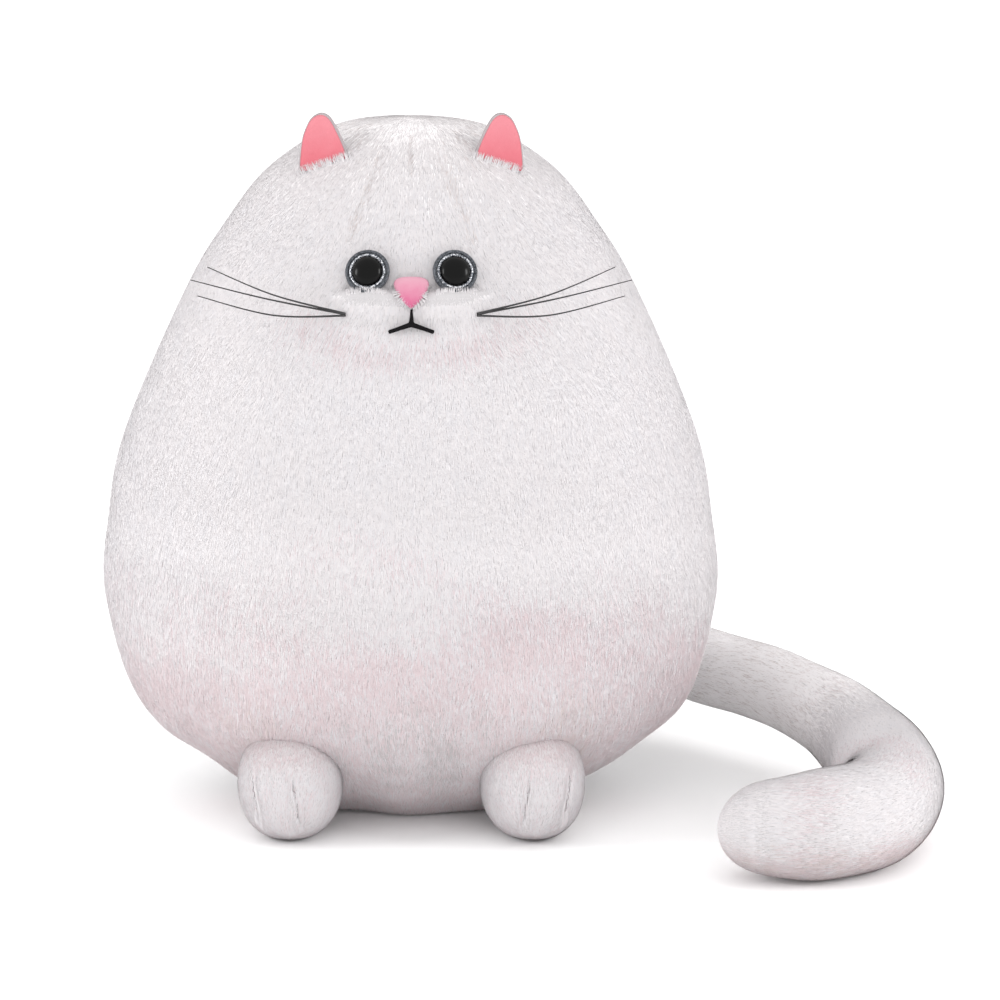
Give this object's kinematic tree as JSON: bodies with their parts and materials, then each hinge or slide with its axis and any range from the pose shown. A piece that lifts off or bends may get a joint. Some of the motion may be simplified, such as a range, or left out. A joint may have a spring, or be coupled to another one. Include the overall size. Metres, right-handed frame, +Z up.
{
  "type": "plush cat",
  "caption": "Egg-shaped stuffed white plush cat sitting upright, with pink-lined ears, glossy eyes, whiskers, stub front paws and a long tail curled forward on the floor.",
  "frame": {"origin": "centre of the flat base on the floor", "axes": "+Z up, the face looks along -Y, +X to the side the tail curls round"},
  "size_m": [0.3341, 0.2854, 0.2809],
  "materials": {
    "white_plush": "short white plush, matte, combed downwards",
    "fibre_fill": "loose polyester fibre",
    "bead_cloth": "plain woven cloth bag of plastic beads",
    "pink_satin": "smooth pink satin with a soft sheen",
    "nose_satin": "smooth pink satin, padded",
    "black_thread": "twisted black embroidery thread",
    "white_thread": "white sewing thread",
    "black_gloss": "polished black",
    "glitter": "fine silver glitter under clear resin",
    "grey_cup": "smooth grey, slightly clear",
    "white_plastic": "plain moulded",
    "nylon": "thin dark nylon strand"
  },
  "bodies": {
    "body": {"front_panel": "white_plush", "back_panel_left": "white_plush", "back_panel_right": "white_plush", "base_panel": "white_plush", "body_filling": "fibre_fill", "bead_bag": "bead_cloth", "eye_left_pupil": "black_gloss", "eye_right_pupil": "black_gloss", "eye_left_glitter_ring": "glitter", "eye_right_glitter_ring": "glitter", "eye_left_cup": "grey_cup", "eye_right_cup": "grey_cup", "eye_left_washer": "white_plastic", "eye_right_washer": "white_plastic", "nose_pad": "nose_satin", "mouth_stitch_centre": "black_thread", "mouth_stitch_left": "black_thread", "mouth_stitch_right": "black_thread", "closing_stitch": "white_thread", "whisker_anchor_left": "white_plastic", "whisker_anchor_right": "white_plastic", "paw_left_skin": "white_plush", "paw_right_skin": "white_plush", "paw_left_filling": "fibre_fill", "paw_right_filling": "fibre_fill", "paw_left_toe_stitch_inner": "white_thread", "paw_right_toe_stitch_inner": "white_thread", "paw_left_toe_stitch_outer": "white_thread", "paw_right_toe_stitch_outer": "white_thread"},
    "ear_left": {"ear_left_back": "white_plush", "ear_left_lining": "pink_satin"},
    "ear_right": {"ear_right_back": "white_plush", "ear_right_lining": "pink_satin"},
    "whiskers_left": {"whisker_left_1": "nylon", "whisker_left_2": "nylon", "whisker_left_3": "nylon"},
    "whiskers_right": {"whisker_right_1": "nylon", "whisker_right_2": "nylon", "whisker_right_3": "nylon"},
    "tail_root": {"tail_root_filling": "white_plush"},
    "tail": {"tail_skin_upper": "white_plush", "tail_skin_lower": "white_plush", "tail_filling": "fibre_fill"}
  },
  "joints": [
    {"name": "tail_swing", "type": "hinge", "parent": "body", "child": "tail_root", "pos_m": [0, 0.092, 0.046], "axis": [0, 0, 1], "range_deg": [-3, 30]},
    {"name": "tail_lift", "type": "hinge", "parent": "tail_root", "child": "tail", "pos_m": [0, 0.092, 0.046], "axis": [-0.5478, -0.8366, 0], "range_deg": [0, 25]},
    {"name": "ear_left_fold", "type": "hinge", "parent": "body", "child": "ear_left", "pos_m": [-0.034, -0.0309, 0.2605], "axis": [-0.9454, 0.1, -0.3101], "range_deg": [-20, 20], "stiffness_Nm_per_rad": 0.02},
    {"name": "ear_right_fold", "type": "hinge", "parent": "body", "child": "ear_right", "pos_m": [0.034, -0.0309, 0.2605], "axis": [-0.9454, -0.1, 0.3101], "range_deg": [-20, 20], "stiffness_Nm_per_rad": 0.02},
    {"name": "whiskers_left_bend", "type": "hinge", "parent": "body", "child": "whiskers_left", "pos_m": [-0.025, -0.0666, 0.2054], "axis": [0, 0, -1], "range_deg": [-8, 20], "stiffness_Nm_per_rad": 0.0012},
    {"name": "whiskers_right_bend", "type": "hinge", "parent": "body", "child": "whiskers_right", "pos_m": [0.025, -0.0666, 0.2054], "axis": [0, 0, 1], "range_deg": [-8, 20], "stiffness_Nm_per_rad": 0.0012}
  ]
}
